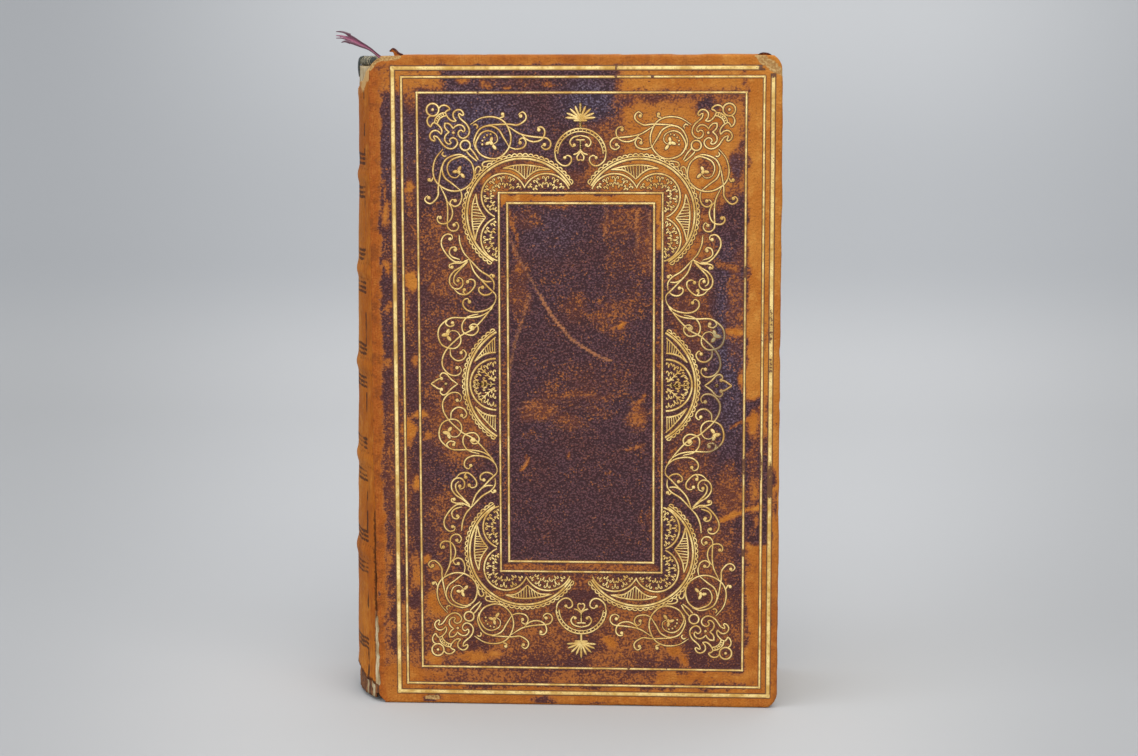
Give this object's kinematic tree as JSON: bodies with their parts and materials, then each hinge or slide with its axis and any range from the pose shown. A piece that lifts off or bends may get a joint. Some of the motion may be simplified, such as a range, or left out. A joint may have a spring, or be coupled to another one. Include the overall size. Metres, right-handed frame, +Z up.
{
  "type": "antique leather-bound bible",
  "caption": "Old full-leather bible standing on its tail edges: rounded spine with raised bands, hinged worn covers with gold tooled panel, gilt page edges, ribbon stub.",
  "frame": {"origin": "centre of the foot of the bounding box, on the surface the covers stand on", "axes": "+Z up to the head of the book, front cover faces -Y, spine faces -X, fore-edge faces +X"},
  "size_m": [0.1234, 0.0442, 0.1872],
  "materials": {
    "page_edges": "worn gilt edges over aged paper",
    "lining": "torn, glue-stained paper and cloth",
    "cord": "matt hemp",
    "silk": "dark silk with pale stripes",
    "spine_leather": "worn tan, rubbed",
    "leather": "grained, rubbed to tan at the edges",
    "ribbon": "faded silk, frayed",
    "board": "bare millboard",
    "endpaper": "aged, foxed paper",
    "gold": "tooled gold leaf, tarnished in places"
  },
  "bodies": {
    "book_block": {"text_block": "page_edges", "spine_lining": "lining", "band_cords": "cord", "head_band": "silk", "tail_band": "silk", "spine_leather": "spine_leather", "ribbon_marker": "ribbon"},
    "front_cover": {"front_board": "board", "front_leather": "leather", "front_pastedown": "endpaper", "front_gilt": "gold"},
    "back_cover": {"back_board": "board", "back_leather": "leather", "back_pastedown": "endpaper", "back_gilt": "gold"}
  },
  "joints": [
    {"name": "front_joint", "type": "hinge", "parent": "book_block", "child": "front_cover", "pos_m": [-0.05, -0.0216, 0.09], "axis": [0, 0, -1], "range_deg": [0, 160]},
    {"name": "back_joint", "type": "hinge", "parent": "book_block", "child": "back_cover", "pos_m": [-0.05, 0.0216, 0.09], "axis": [0, 0, 1], "range_deg": [0, 160]}
  ]
}
